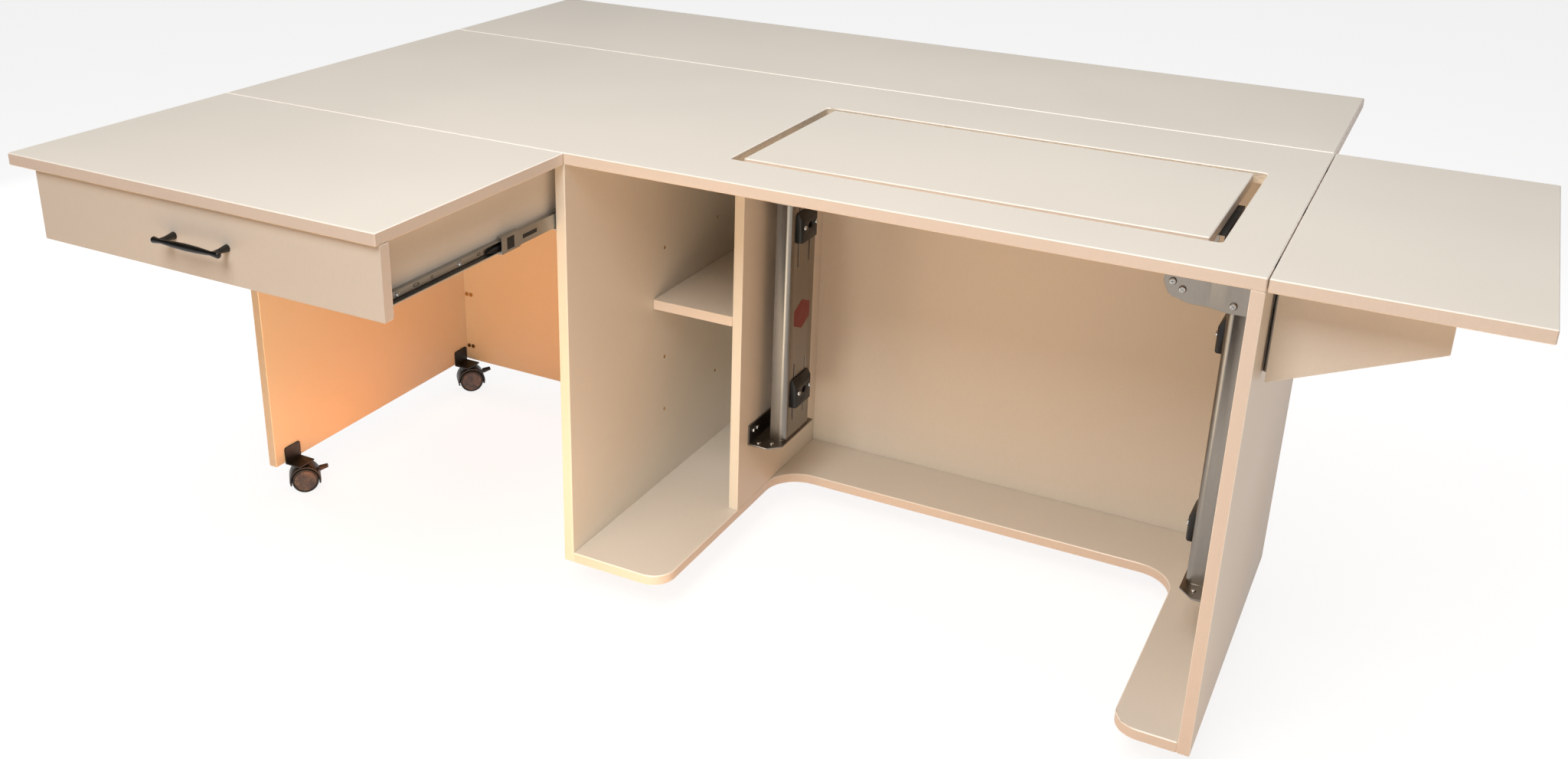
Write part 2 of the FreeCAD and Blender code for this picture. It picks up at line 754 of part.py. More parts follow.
# Platform arms of folded sheet
arm_start = right_face - platform_right + post_metal * 2
arm_end = right_face - platform_right + arm_reach
arm_top = under_top - arm_metal
arm_low = under_top - arm_drop
arm_line = -arm_post_gap - arm_metal
step_end = web_face + arm_step_length
arm_plan = [(arm_side_gap, lug_front + lug_width), (arm_side_gap, arm_line),
            (web_face, arm_line), (step_end, arm_line + arm_step),
            (arm_end, arm_line + arm_step), (arm_end, arm_line + arm_step + arm_metal),
            (step_end, arm_line + arm_step + arm_metal), (web_face, arm_line + arm_metal),
            (lug_start, arm_line + arm_metal), (lug_start, lug_front + lug_width)]
arm_sheet = prism([Vector(x, y, arm_low) for x, y in arm_plan], Z * (arm_top - arm_low))
neck_top = under_top - arm_neck_drop
arm_face = [(arm_side_gap, arm_low), (arm_end - 2.5 * arm_round, arm_low),
            (arm_end - arm_round * 0.6, arm_low + arm_round * 0.5),
            (arm_end, arm_low + arm_round * 1.7), (arm_end, arm_top), (arm_start, arm_top),
            (arm_start, neck_top), (arm_side_gap, neck_top)]
arm_mask = prism([Vector(x, -post_width, z) for x, z in arm_face], Y * (post_width * 2))
arm_mask = round_edges(arm_mask, arm_round, [Vector(x, 0, z) for x, z in arm_face[1:4]], Y)
arm_ledge = block(arm_start, arm_end, arm_line + arm_step, arm_line + arm_step + arm_flange,
                  arm_top, under_top)
arm = fuse([arm_sheet.common(arm_mask), arm_ledge])

# Adjustable stops with their bolts through the slots
stop_near = web_face + stop_gap
stop_far = stop_near + stop_thick


def stop(level):
    """A stop with sloping sides, a ramp on top, a sight hole and two clamp bolts."""
    middle = Vector(0, stop_centre, level)
    half_width = stop_width / 2
    half_height = stop_height / 2
    plan = [(stop_near, -half_width), (stop_far - stop_chamfer / 2, -half_width),
            (stop_far, -half_width + stop_chamfer), (stop_far, half_width - stop_chamfer),
            (stop_far - stop_chamfer / 2, half_width), (stop_near, half_width)]
    side = [(stop_near, -half_height), (stop_far, -half_height),
            (stop_far, half_height - stop_ramp), (stop_near + stop_lip, half_height),
            (stop_near, half_height)]
    across = prism([Vector(x, y, -half_height) + middle for x, y in plan], Z * stop_height)
    upright = prism([Vector(x, -half_width, z) + middle for x, z in side], Y * stop_width)
    body = across.common(upright).cut(rod(stop_hole_radius, middle + X * stop_near, X, stop_thick))
    bolts = []
    nut_far = web_inner - stop_gap
    for y in bolt_rows:
        row = Vector(0, y, level)
        bolts.append(rod(stop_bolt_radius, row + X * nut_far, X, stop_far - nut_far,
                         fine_sides))
        bolts.append(drum([(0, stop_nut_radius), (stop_nut_height, stop_nut_radius)],
                          row + X * nut_far, -X, 6))
    return fuse([body] + bolts)


def on_left(shape):
    """A lift piece moved to the left post."""
    return shape.translated(Vector(bay_outer, left_post_front, 0))


def on_right(shape):
    """A lift piece mirrored to the right post."""
    return shape.mirror(none, X).translated(Vector(right_face, right_post_front, 0))


nodes["lift_post_left"] = on_left(post)
nodes["lift_post_right"] = on_right(post)
for name, piece in (("lift_carriages", carriage), ("gas_cylinders", gas_cylinder),
                    ("gas_rods", gas_rod), ("lift_arms", arm),
                    ("upper_stops", stop(stop_upper)), ("lower_stops", stop(stop_lower))):
    nodes[name] = Part.makeCompound([on_left(piece), on_right(piece)])

# Casters, drawn with the stem at the origin and rolling along x
plate_low = carcass_lift - caster_metal
axle = Vector(caster_trail, 0, wheel_radius)
wheel_near = wheel_web / 2 + wheel_side_gap
wheel_far = wheel_near + wheel_width
hood_half = wheel_far - hood_side_inset
hood_inner = wheel_radius + hood_gap
hood_outer = hood_inner + hood_wall

hood_hollow = drum([(-wheel_far, hood_inner), (wheel_far, hood_inner)], axle, Y, wheel_sides)
hood_shell = drum([(-hood_half, hood_outer), (hood_half, hood_outer)], axle, Y, wheel_sides)
hood_shell = hood_shell.cut(hood_hollow)
web_radius = hood_inner + hood_wall / 2
hood_web = drum([(-wheel_web / 2, web_radius), (wheel_web / 2, web_radius)], axle, Y, wheel_sides)
neck_top_level = plate_low - neck_gap
hood_neck = rod(neck_radius, Vector(0, 0, wheel_radius), Z, neck_top_level - wheel_radius)
stem = rod(stem_radius, Z * neck_top_level, Z, carcass_lift - neck_gap - neck_top_level,
           round_sides)
floor_cut = block(-2 * hood_outer, 2 * hood_outer, -hood_outer, hood_outer, -hood_outer,
                  wheel_radius - hood_skirt)
axle_hole = rod(axle_radius + axle_fit, axle - Y * hood_half, Y, 2 * hood_half)
hood = fuse([hood_shell, hood_web, hood_neck.cut(hood_hollow), stem])
hood = hood.cut(Part.makeCompound([floor_cut, axle_hole]))

wheel_section = [(wheel_near, wheel_radius), (wheel_far - wheel_edge, wheel_radius),
                 (wheel_far, wheel_radius - wheel_edge)]
wheels = fuse([drum(wheel_section, axle, Y, wheel_sides),
               drum(wheel_section, axle, -Y, wheel_sides),
               rod(axle_radius, axle - Y * wheel_near, Y, 2 * wheel_near)])

brake_turn = math.radians(brake_angle)
brake_arm = hood_outer + brake_gap + brake_barrel
brake_pivot = axle + Vector(math.cos(brake_turn), 0, math.sin(brake_turn)) * brake_arm
brake_outline = [(0, brake_barrel), (brake_reach, brake_barrel * 1.6),
                 (brake_reach * 1.1, brake_barrel * 0.8), (0, -brake_barrel)]
brake_start = brake_pivot - Y * (brake_width / 2)
brake = fuse([rod(brake_barrel, brake_start, Y, brake_width),
              prism([brake_start + Vector(x, 0, z) for x, z in brake_outline],
                    Y * brake_width)])


def at_stem(shape, stem_place):
    """A caster piece turned to its heading and moved to a stem."""
    turned_shape = shape.copy()
    turned_shape.rotate(none, Z, caster_heading)
    return turned_shape.translated(stem_place)


bracket_x = left_face + caster_offset
base_left_x = partition_right + caster_base_left
base_right_x = (right_foot_left + right_face) / 2
base_back_y = carcass_back - caster_base_back
caster_stems = {
    "left_front": Vector(bracket_x, caster_margin, 0),
    "left_back": Vector(bracket_x, carcass_back - caster_margin, 0),
    "bay_front": Vector(base_left_x, caster_base_front, 0),
    "bay_back": Vector(base_left_x, base_back_y, 0),
    "right_front": Vector(base_right_x, caster_base_front, 0),
    "right_back": Vector(base_right_x, base_back_y, 0),
}
braked = ("left_front", "left_back")
mounts = []
for name, place in caster_stems.items():
    nodes["caster_hood_" + name] = at_stem(hood, place)
    nodes["caster_wheels_" + name] = at_stem(wheels, place)
    half = caster_plate / 2
    plate = block(place.x - half, place.x + half, place.y - half, place.y + half, plate_low,
                  carcass_lift)
    if name in braked:
        nodes["caster_brake_" + name] = at_stem(brake, place)
        half = caster_bracket_width / 2
        corners = [place.y - half, place.y + half]
        ledge = block(left_face, left_face + caster_bracket_reach, corners[0], corners[1],
                      plate_low, carcass_lift)
        upright = block(left_face, left_face + caster_metal, corners[0], corners[1], plate_low,
                        carcass_lift + caster_bracket_height)
        upright = round_edges(upright, caster_bracket_round,
                              [Vector(0, y, carcass_lift + caster_bracket_height)
                               for y in corners], X)
        plate = fuse([ledge, upright])
    mounts.append(plate.cut(rod(stem_radius + stem_fit, place, Z, table_height, round_sides)))
nodes["caster_mounts"] = Part.makeCompound(mounts)

# Every piece moved so that the origin is on the floor under the middle of the table
table_front = nodes["drawer_handle"].BoundBox.YMin
centre = Vector(leaf_right / 2, (table_front + leaf_back) / 2, 0)
os.makedirs("parts", exist_ok=True)
for name, shape in nodes.items():
    shape.translated(-centre).exportStep("parts/" + name + ".step")
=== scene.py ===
import bpy
import json
import math
from mathutils import Matrix, Vector

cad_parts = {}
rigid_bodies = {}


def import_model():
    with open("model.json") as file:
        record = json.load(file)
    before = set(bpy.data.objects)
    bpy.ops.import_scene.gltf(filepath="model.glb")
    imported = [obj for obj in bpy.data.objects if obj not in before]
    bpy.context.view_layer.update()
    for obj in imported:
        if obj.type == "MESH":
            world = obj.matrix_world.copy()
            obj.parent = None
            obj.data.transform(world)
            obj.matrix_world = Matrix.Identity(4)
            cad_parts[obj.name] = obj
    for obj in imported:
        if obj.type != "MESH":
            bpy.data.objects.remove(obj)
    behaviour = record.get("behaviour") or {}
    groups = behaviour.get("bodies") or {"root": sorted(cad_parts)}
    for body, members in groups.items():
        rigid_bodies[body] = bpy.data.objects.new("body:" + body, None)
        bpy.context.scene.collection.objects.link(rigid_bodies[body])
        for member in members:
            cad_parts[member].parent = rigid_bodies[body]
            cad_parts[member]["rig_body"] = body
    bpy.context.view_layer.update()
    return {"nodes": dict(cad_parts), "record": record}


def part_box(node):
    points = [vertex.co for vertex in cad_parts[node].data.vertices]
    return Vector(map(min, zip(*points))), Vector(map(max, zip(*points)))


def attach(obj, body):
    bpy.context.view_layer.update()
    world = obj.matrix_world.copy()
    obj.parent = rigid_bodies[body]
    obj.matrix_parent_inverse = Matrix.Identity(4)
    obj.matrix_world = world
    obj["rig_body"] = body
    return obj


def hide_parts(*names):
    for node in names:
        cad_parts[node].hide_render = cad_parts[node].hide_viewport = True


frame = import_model()
nodes = frame["nodes"]
joints = {joint["name"]: joint for joint in frame["record"]["behaviour"]["joints"]}


# Materials: expressions on shader values add their own maths nodes

class Value:
    """A shader socket that works in Python expressions."""

    def __init__(self, paint, socket):
        self.paint = paint
        self.socket = socket

    def maths(self, operation, other):
        return self.paint.node("ShaderNodeMath", {"operation": operation}, {0: self, 1: other})

    def __add__(self, other):
        return self.maths("ADD", other)

    def __sub__(self, other):
        return self.maths("SUBTRACT", other)

    def __mul__(self, other):
        return self.maths("MULTIPLY", other)

    def __gt__(self, other):
        return self.maths("GREATER_THAN", other)

    def __lt__(self, other):
        return self.maths("LESS_THAN", other)


class Paint:
    """A material, built node by node."""

    def __init__(self, name, **sockets):
        self.material = bpy.data.materials.new(name)
        self.material.use_nodes = True
        self.tree = self.material.node_tree
        self.shader = self.tree.nodes["Principled BSDF"]
        self.feed(**sockets)

    def node(self, kind, settings=None, inputs=None, out=0):
        """A new node with its settings and inputs, as the value of one output."""
        made = self.tree.nodes.new(kind)
        for key, value in (settings or {}).items():
            setattr(made, key, value)
        for key, value in (inputs or {}).items():
            self.join(made.inputs[key], value)
        return Value(self, made.outputs[out])

    def join(self, socket, value):
        """Links a value to a socket, or sets a constant on it."""
        if isinstance(value, Value):
            self.tree.links.new(value.socket, socket)
        else:
            socket.default_value = value

    def feed(self, **sockets):
        """Joins values to the main shader's sockets by name."""
        for key, value in sockets.items():
            self.join(self.shader.inputs[key.replace("_", " ")], value)

    def place(self, scale):
        """Object coordinates, stretched along each axis."""
        spot = self.node("ShaderNodeTexCoord", out="Object")
        return self.node("ShaderNodeMapping", None, {"Vector": spot, "Scale": scale})

    def noise(self, size, detail, stretch=(1, 1, 1)):
        """Soft noise from 0 to 1 with lumps of about a given size."""
        return self.node("ShaderNodeTexNoise", None,
                         {"Vector": self.place(stretch), "Scale": 1 / size, "Detail": detail})

    def cells(self, size, stretch=(1, 1, 1)):
        """A different grey from 0 to 1 for each cell of a broken-up surface."""
        colour = self.node("ShaderNodeTexVoronoi", None,
                           {"Vector": self.place(stretch), "Scale": 1 / size}, out="Color")
        return self.node("ShaderNodeSeparateColor", None, {0: colour})

    def place_along(self, axis):
        """One of the object coordinates."""
        return self.node("ShaderNodeSeparateXYZ", None,
                         {0: self.node("ShaderNodeTexCoord", out="Object")}, out=axis)

    def facing(self, axis):
        """How squarely a face looks along an axis, from 0 to 1."""
        normal = self.node("ShaderNodeNewGeometry", out="True Normal")
        part = self.node("ShaderNodeSeparateXYZ", None, {0: normal}, out=axis)
        return part * part

    def blend(self, share, first, second, how="MIX"):
        """Two colours mixed by a share from 0 to 1."""
        return self.node("ShaderNodeMix", {"data_type": "RGBA", "blend_type": how},
                         {0: share, 6: first, 7: second}, out=2)

    def grey(self, shade):
        """A value as a grey colour."""
        return self.node("ShaderNodeCombineColor", None, {0: shade, 1: shade, 2: shade})

    def bump(self, height, strength, depth):
        """A normal that follows a height."""
        return self.node("ShaderNodeBump", None,
                         {"Height": height, "Strength": strength, "Distance": depth})


def rgb(red, green, blue):
    """A screen colour of 0 to 255 as the shader's own colour."""
    def linear(part):
        part = part / 255
        return part / 12.92 if part <= 0.04045 else ((part + 0.055) / 1.055) ** 2.4
    return (linear(red), linear(green), linear(blue), 1)


def laminate(name, across, face, band, raw_box=None, raw_tones=None, rim=0):
    """Melamine board: faintly clouded faces, taped edges and eased corners with a painted
    highlight.

    Edges inside the raw box show the cut core, and with rim 1 their corners do too.
    """
    edge_limit = 0.25
    face_limit = 0.9
    # The pale tone given to the eased corners is a painted highlight.
    painted_corner_highlight = rgb(250, 244, 236)
    paint = Paint(name)
    cloud = paint.noise(0.3, 2)
    fleck = paint.noise(0.0018, 2)
    weave = paint.noise(0.004, 1, (1, 1, 0.3))
    squarely = paint.facing(across)
    edge = squarely < edge_limit
    corner = (squarely > edge_limit) * (squarely < face_limit)
    shade = (cloud - 0.5) * 0.04 + (fleck - 0.5) * 0.05 + (weave - 0.5) * 0.03 + 0.985
    tone = paint.blend(edge, face, band)
    # Painted highlight: the eased corners take the pale corner tone.
    tone = paint.blend(corner, tone, painted_corner_highlight)
    tone = paint.blend(1.0, tone, paint.grey(shade), "MULTIPLY")
    rough = (cloud - 0.5) * 0.12 + (fleck - 0.5) * 0.1 + 0.42 - corner * 0.12 - edge * 0.06
    height = fleck
    if raw_box:
        low, high = raw_box
        raw = edge + corner * rim
        for axis, near, far in zip("XYZ", low, high):
            along = paint.place_along(axis)
            raw = raw * (along > near) * (along < far)
        chip = paint.cells(0.0035, (1, 1, 2.2))
        dust = paint.noise(0.0012, 3)
        core = paint.blend(chip * 0.7 + dust * 0.4 - 0.05, *raw_tones)
        tone = paint.blend(raw, tone, core)
        rough = rough + raw * 0.4
        height = fleck + raw * chip * 2
    paint.feed(Base_Color=tone, Roughness=rough, Normal=paint.bump(height, 0.12, 0.0004))
    return paint.material


def metal(name, colour, rough, streak=(1, 1, 1), grain=0.004, spread=0.2, spangle=0.0):
    """Plated steel with a drawn grain, a cloud in its shine and zinc spangles."""
    paint = Paint(name, Metallic=1.0)
    line = paint.noise(grain, 4, streak)
    cloud = paint.noise(0.05, 3)
    flake = paint.cells(0.007)
    shadow = tuple(part * 0.66 for part in colour[:3]) + (1,)
    mix = line * 0.5 + cloud * 0.4 + (flake - 0.5) * spangle + 0.1
    shine = (line - 0.5) * spread + (cloud - 0.5) * spread + (flake - 0.5) * spangle * 0.3
    paint.feed(Base_Color=paint.blend(mix, shadow, colour), Roughness=shine + rough,
               Normal=paint.bump(line, 0.08, 0.0003))
    return paint.material


def plastic(name, colour, rough, grain=0.0012, strength=0.25, pale=1.9):
    """Moulded plastic with a fine grain and worn, paler patches."""
    paint = Paint(name)
    grit = paint.noise(grain, 2)
    wear = paint.noise(0.02, 4)
    worn = tuple(min(1, part * pale + 0.006) for part in colour[:3]) + (1,)
    paint.feed(Base_Color=paint.blend((wear - 0.45) * 1.2 + (grit - 0.5) * 0.3, colour, worn),
               Roughness=(wear - 0.5) * 0.3 + rough,
               Normal=paint.bump(grit, strength, 0.0002))
    return paint.material


def mottled(name, first, second):
    """Polished brown plastic with a marbled, flecked figure."""
    paint = Paint(name, Coat_Weight=0.4)
    swirl = paint.noise(0.012, 5)
    fleck = paint.noise(0.0022, 3)
    figure = (swirl - 0.42) * 2.2 + (fleck - 0.5) * 1.6
    paint.feed(Base_Color=paint.blend(figure, first, second),
               Roughness=(fleck - 0.5) * 0.3 + 0.3,
               Normal=paint.bump(fleck, 0.12, 0.0002))
    return paint.material


cream = rgb(228, 222, 213)
peach = rgb(229, 217, 206)
pin_band = rgb(232, 226, 214)
pin_core = (rgb(140, 100, 62), rgb(214, 178, 132))
opening_core = (rgb(206, 194, 176), rgb(238, 228, 210))
opening_reach = Vector((0.04, 0.04, 0.03))
opening_box = (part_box("lift_platform")[0] - opening_reach,
               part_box("lift_platform")[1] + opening_reach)
pin_reach = Vector((0.03, 0.006, 0.26))
pin_box = (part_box("shelf_pins")[0] - pin_reach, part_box("shelf_pins")[1] + pin_reach)
board_x = laminate("cream_board_upright", "X", cream, peach)
board_pins = laminate("cream_board_with_pin_holes", "X", cream, pin_band, pin_box, pin_core, 1)
board_y = laminate("cream_board_across", "Y", cream, peach)
board_z = laminate("cream_board_flat", "Z", cream, peach)
board_cut = laminate("cream_board_with_opening", "Z", cream, peach, opening_box, opening_core)
zinc = metal("zinc_sheet", rgb(146, 139, 131), 0.32, (1, 1, 0.06), 0.003, 0.1, 0.1)
slide_steel = metal("slide_steel", rgb(186, 184, 180), 0.36, (1, 0.03, 1), 0.002, 0.16)
bright = metal("bright_steel", rgb(214, 214, 214), 0.2, (1, 1, 0.2), 0.002, 0.1)
dark = plastic("dark_plastic", rgb(36, 27, 23), 0.4)
stop_black = plastic("black_stop", rgb(10, 8, 7), 0.5, 0.0009, 0.15, 1.5)
black = plastic("black_plastic", rgb(13, 11, 10), 0.5, 0.0009, 0.15, 1.5)
disc = mottled("brown_wheel_disc", rgb(66, 48, 40), rgb(148, 120, 102))
tread = plastic("dark_tread", rgb(30, 24, 21), 0.5)
handle_black = plastic("black_handle", rgb(13, 12, 11), 0.34, 0.0008, 0.12, 1.5)
tube_black = plastic("black_tube", rgb(20, 20, 21), 0.3, 0.0008, 0.05)
brass = metal("brass", rgb(196, 156, 100), 0.3)
red = plastic("red_patch", rgb(118, 22, 19), 0.5, 0.0009, 0.06, 1.25)

finish = {}
for name in nodes:
    if name.startswith(("caster_hood", "caster_brake")):
        finish[name] = dark
    elif name.endswith("_stops"):
        finish[name] = stop_black
    elif name.startswith("slide_") and name != "slide_cleat":
        finish[name] = slide_steel
    elif name.startswith("caster_wheels"):
        finish[name] = tread
    else:
        finish[name] = zinc
for name in ("front_leaf", "right_leaf", "back_leaf", "lift_platform", "base_panel",
             "adjustable_shelf", "drawer_bottom"):
    finish[name] = board_z
for name in ("left_end_panel", "right_end_panel", "drawer_left_side", "drawer_right_side",
             "slide_cleat"):
    finish[name] = board_x
for name in ("drawer_partition", "bay_partition"):
    finish[name] = board_pins
for name in ("left_back_panel", "main_back_panel", "drawer_front", "drawer_back",
             "support_wing"):
    finish[name] = board_y
finish["main_top"] = board_cut
finish["drawer_handle"] = handle_black
finish["gas_cylinders"] = tube_black
finish["gas_rods"] = bright
finish["cam_fittings"] = brass
finish["caster_mounts"] = black
for name, material in finish.items():
    nodes[name].data.materials.clear()
    nodes[name].data.materials.append(material)


# Shaping: pieces are added, edited and finished one at a time

square = 0.9         # least part of a normal along an axis for a face that looks that way
dead_flat = 0.999    # the same for a face that lies quite flat
weld_distance = 0.000002
flat_angle = math.radians(0.5)
crease_angle = math.radians(40)
smooth_angle = math.radians(35)


def only(piece):
    """Leaves one object selected and active."""
    bpy.ops.object.select_all(action="DESELECT")
    piece.select_set(True)
    bpy.context.view_layer.objects.active = piece


def start(add, **size):
    """A new primitive, alone in the selection."""
    bpy.ops.object.select_all(action="DESELECT")
    add(**size)
    bpy.ops.object.transform_apply(location=True, rotation=True, scale=True)
    return bpy.context.object


def brick(low, high):
    """A box piece between two corners, ready for editing."""
    low, high = Vector(low), Vector(high)
    return start(bpy.ops.mesh.primitive_cube_add, size=1, location=(low + high) / 2,
                 scale=high - low)


def drum(sides, radius, depth, middle=0):
    """A cylinder along Z, ready for editing."""
    return start(bpy.ops.mesh.primitive_cylinder_add, vertices=sides, radius=radius, depth=depth,
                 location=(0, 0, middle))


def pick(piece, test):
    """Enters edit mode with only the faces selected that pass a test."""
    bpy.ops.object.mode_set(mode="EDIT")
    bpy.ops.mesh.select_mode(type="FACE")
    bpy.ops.mesh.select_all(action="DESELECT")
    bpy.ops.object.mode_set(mode="OBJECT")
    for face in piece.data.polygons:
        face.select = test(face)
    bpy.ops.object.mode_set(mode="EDIT")


def pull(x, y, z):
    """Draws the selected faces out by a step."""
    bpy.ops.mesh.extrude_region_move(TRANSFORM_OT_translate={"value": (x, y, z)})


def press(depth):
    """Sinks the selected faces into the piece."""
    bpy.ops.mesh.extrude_region_shrink_fatten(TRANSFORM_OT_shrink_fatten={"value": -depth})


def settle(piece, width=0.0, segments=1, round_shade=True):
    """Leaves edit mode, eases the sharp edges and smooths the round faces."""
    bpy.ops.object.mode_set(mode="OBJECT")
    only(piece)
    if width:
        ease = piece.modifiers.new("ease", "BEVEL")
        ease.width = width
        ease.segments = segments
        ease.limit_method = "ANGLE"
        ease.angle_limit = crease_angle
        ease.use_clamp_overlap = False
        bpy.ops.object.modifier_apply(modifier="ease")
    if round_shade:
        bpy.ops.object.shade_smooth_by_angle(angle=smooth_angle)
    else:
        bpy.ops.object.shade_flat()
    return piece


# Solids with eased edges
board_ease = 0.0009
top_ease = 0.0014
back_leaf_ease = 0.0022
moulded_ease = 0.0005
sheet_ease = 0.0003
platform_set_back = 0.0105
stop_height_share = 0.8
boards = (board_x, board_pins, board_y, board_z, board_cut)
plain_boards = ("back_leaf", "front_leaf", "right_leaf", "lift_platform")
eased_sheets = ("lift_post_left", "lift_post_right", "lift_arms", "caster_mounts")


def eased(name, width, segments=1, round_shade=True, reshape=None):
    """A copy of a solid with its edges eased, which stands for the solid."""
    piece = bpy.data.objects.new(name + "_finish", nodes[name].data.copy())
    bpy.context.scene.collection.objects.link(piece)
    only(piece)
    bpy.ops.mesh.customdata_custom_splitnormals_clear()
    bpy.ops.object.mode_set(mode="EDIT")
    bpy.ops.mesh.select_all(action="SELECT")
    bpy.ops.mesh.remove_doubles(threshold=weld_distance)
    if name in plain_boards:
        bpy.ops.mesh.dissolve_limited(angle_limit=flat_angle)
    if reshape:
        reshape(piece)
    settle(piece, width, segments, round_shade)
    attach(piece, nodes[name]["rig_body"])
    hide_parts(name)


def wider_gap(piece):
    """Sets the platform's front edge back from the opening."""
    pick(piece, lambda face: face.normal.y < -square)
    bpy.ops.transform.translate(value=(0, platform_set_back, 0))


def lower_block(piece):
    """Makes a stop less tall about the level of its bolts."""
    low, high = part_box(piece.name[:-len("_finish")])
    bpy.ops.mesh.select_all(action="SELECT")
    bpy.ops.transform.resize(value=(1, 1, stop_height_share), center_override=(low + high) / 2)


for name, material in finish.items():
    if name == "lift_platform":
        eased(name, top_ease, 1, False, wider_gap)
    elif name == "back_leaf":
        eased(name, back_leaf_ease, 1, False)
    elif material in (board_z, board_cut):
        eased(name, top_ease, 1, False)
    elif material in boards:
        eased(name, board_ease, 1, False)
    elif material is stop_black:
        eased(name, moulded_ease, 2, True, lower_block)
    elif name == "drawer_handle" or name.startswith("caster_hood"):
        eased(name, moulded_ease, 2)
    elif name in eased_sheets:
        eased(name, sheet_ease)


# Pieces that are made once and set in several places

def spot(place, direction, spin=0):
    """Where a piece made along Z goes: a place, the way it points and its own turn."""
    turn = Vector(direction).to_track_quat("Z", "Y").to_matrix().to_4x4()
    return Matrix.Translation(place) @ turn @ Matrix.Rotation(spin, 4, "Z")


def copies(name, master, spots, body):
    """Copies of one piece at several spots, joined into a piece that rides on a body."""
    bpy.ops.object.select_all(action="DESELECT")
    for matrix in spots:
        piece = bpy.data.objects.new(name, master.data.copy())
        piece.data.transform(matrix)
        if matrix.determinant() < 0:
            piece.data.flip_normals()
        bpy.context.scene.collection.objects.link(piece)
        piece.select_set(True)
        bpy.context.view_layer.objects.active = piece
    if len(spots) > 1:
        bpy.ops.object.join()
    piece = bpy.context.view_layer.objects.active
    piece.name = name
    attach(piece, body)
    return piece


def in_cross(face, reach):
    """True for the hub and the four arms of a screw's cross recess."""
    arm_half_angle = 0.15
    turn = math.atan2(face.center.y, face.center.x)
    arm = abs(math.remainder(turn, math.pi / 2)) < arm_half_angle
    return (face.normal.z > dead_flat and face.center.xy.length < reach
            and (arm or len(face.vertices) > 4))


def screw_head(radius, height, material):
    """A domed screw head on the origin with a cross recess, pointing along Z."""
    dome = height * 0.7
    rim = radius * 0.08
    reach = radius - rim - dome
    head = drum(32, radius, height, height / 2)
    pick(head, lambda face: face.normal.z > square)
    bpy.ops.mesh.bevel(offset=dome, segments=4, affect="EDGES")
    pick(head, lambda face: face.normal.z > dead_flat)
    bpy.ops.mesh.inset(thickness=rim)
    bpy.ops.mesh.inset(thickness=reach * 0.75)
    pick(head, lambda face: in_cross(face, reach * 0.98))
    pull(0, 0, -height * 0.6)
    settle(head)
    head.data.materials.append(material)
    return head


# Screws of the platform arms, stops and post feet; the recesses stand at odd angles
post_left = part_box("lift_post_left")
post_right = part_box("lift_post_right")
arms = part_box("lift_arms")
post_stagger = 0.11
forwards = (0, -1, 0)
upwards = (0, 0, 1)
screw = screw_head(0.0042, 0.0026, bright)
arm_spots = []
for x, z, joggle in ((0.556, 0.678, 0.01), (0.571, 0.668, 0.01), (0.645, 0.660, 0)):
    arm_spots.append(spot((x, arms[0].y + joggle, z), forwards, x * 40))
    left_x = post_left[0].x + post_right[1].x - x
    arm_spots.append(spot((left_x, arms[0].y + joggle + post_stagger, z), forwards, x * 70))
arm_screw = screw_head(0.0056, 0.003, slide_steel)
copies("arm_screws", arm_screw, arm_spots, "lift")
bpy.data.objects.remove(arm_screw)

stop_middle = 0.0325    # from a stop's outer end to the middle between its bolts
stop_face = 0.0662      # from the back of a post to the face of its stops
bolt_shift = 0.022
for level, body in (("upper_stops", "upper_stop_pair"), ("lower_stops", "lower_stop_pair")):
    low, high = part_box(level)
    stop_spots = []
    for y, x, way in ((high.y - stop_middle, post_left[0].x + stop_face, 1),
                      (low.y + stop_middle, post_right[1].x - stop_face, -1)):
        for shift in (-bolt_shift, bolt_shift):
            stop_spots.append(spot((x, y + shift, (low.z + high.z) / 2), (way, 0, 0), 20 * shift))
    copies(level + "_bolts", screw, stop_spots, body)

foot_level = 0.2
heel_level = 0.22
heel_out = 0.003
foot_spots = []
for foot, edge, way in ((post_left, post_left[0].x, 1), (post_right, post_right[1].x, -1)):
    for out, y, spin in ((0.016, 0.012, 0.3), (0.038, 0.021, 0.9)):
        foot_spots.append(spot((edge + way * out, foot[0].y + y, foot_level), upwards, spin))
    for y in (0.018, 0.032):
        foot_spots.append(spot((edge + way * heel_out, foot[0].y + y, heel_level), (way, 0, 0),
                               y * 40))
copies("post_foot_screws", screw, foot_spots, "carcass")


# Details of the ball slides, made for the right slide and mirrored to the left
outer_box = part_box("slide_outers")
inner_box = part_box("slide_inners")
middle_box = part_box("slide_middles")
slide_mirror = (Matrix.Translation((outer_box[0].x + outer_box[1].x, 0, 0))
                @ Matrix.Diagonal((-1, 1, 1, 1)))
inner_web = inner_box[1].x - 0.0075
middle_web = middle_box[1].x
slide_axis = (inner_box[0].z + inner_box[1].z) / 2
inner_front = inner_box[0].y
middle_front = middle_box[0].y
outwards = (1, 0, 0)


def mirrored(spots):
    """Spots on the right slide, followed by those on the left."""
    return spots + [slide_mirror @ place for place in spots]


def slide_brick(web, front, across, along, up):
    """A box on a slide member: across from its web, along from its front, up from the axis."""
    return brick((web + across[0], front + along[0], slide_axis + up[0]),
                 (web + across[1], front + along[1], slide_axis + up[1]))


def both_slides(name, piece, body, material):
    """A slide detail on the right slide and its mirror image on the left."""
    piece.data.materials.append(material)
    copies(name, piece, mirrored([Matrix.Identity(4)]), body)
    bpy.data.objects.remove(piece)


slide_spots = [spot((inner_web, inner_front + along, slide_axis), outwards, along)
               for along in (0.028, 0.165)]
copies("slide_screws", screw, mirrored(slide_spots), "drawer")
bpy.data.objects.remove(screw)

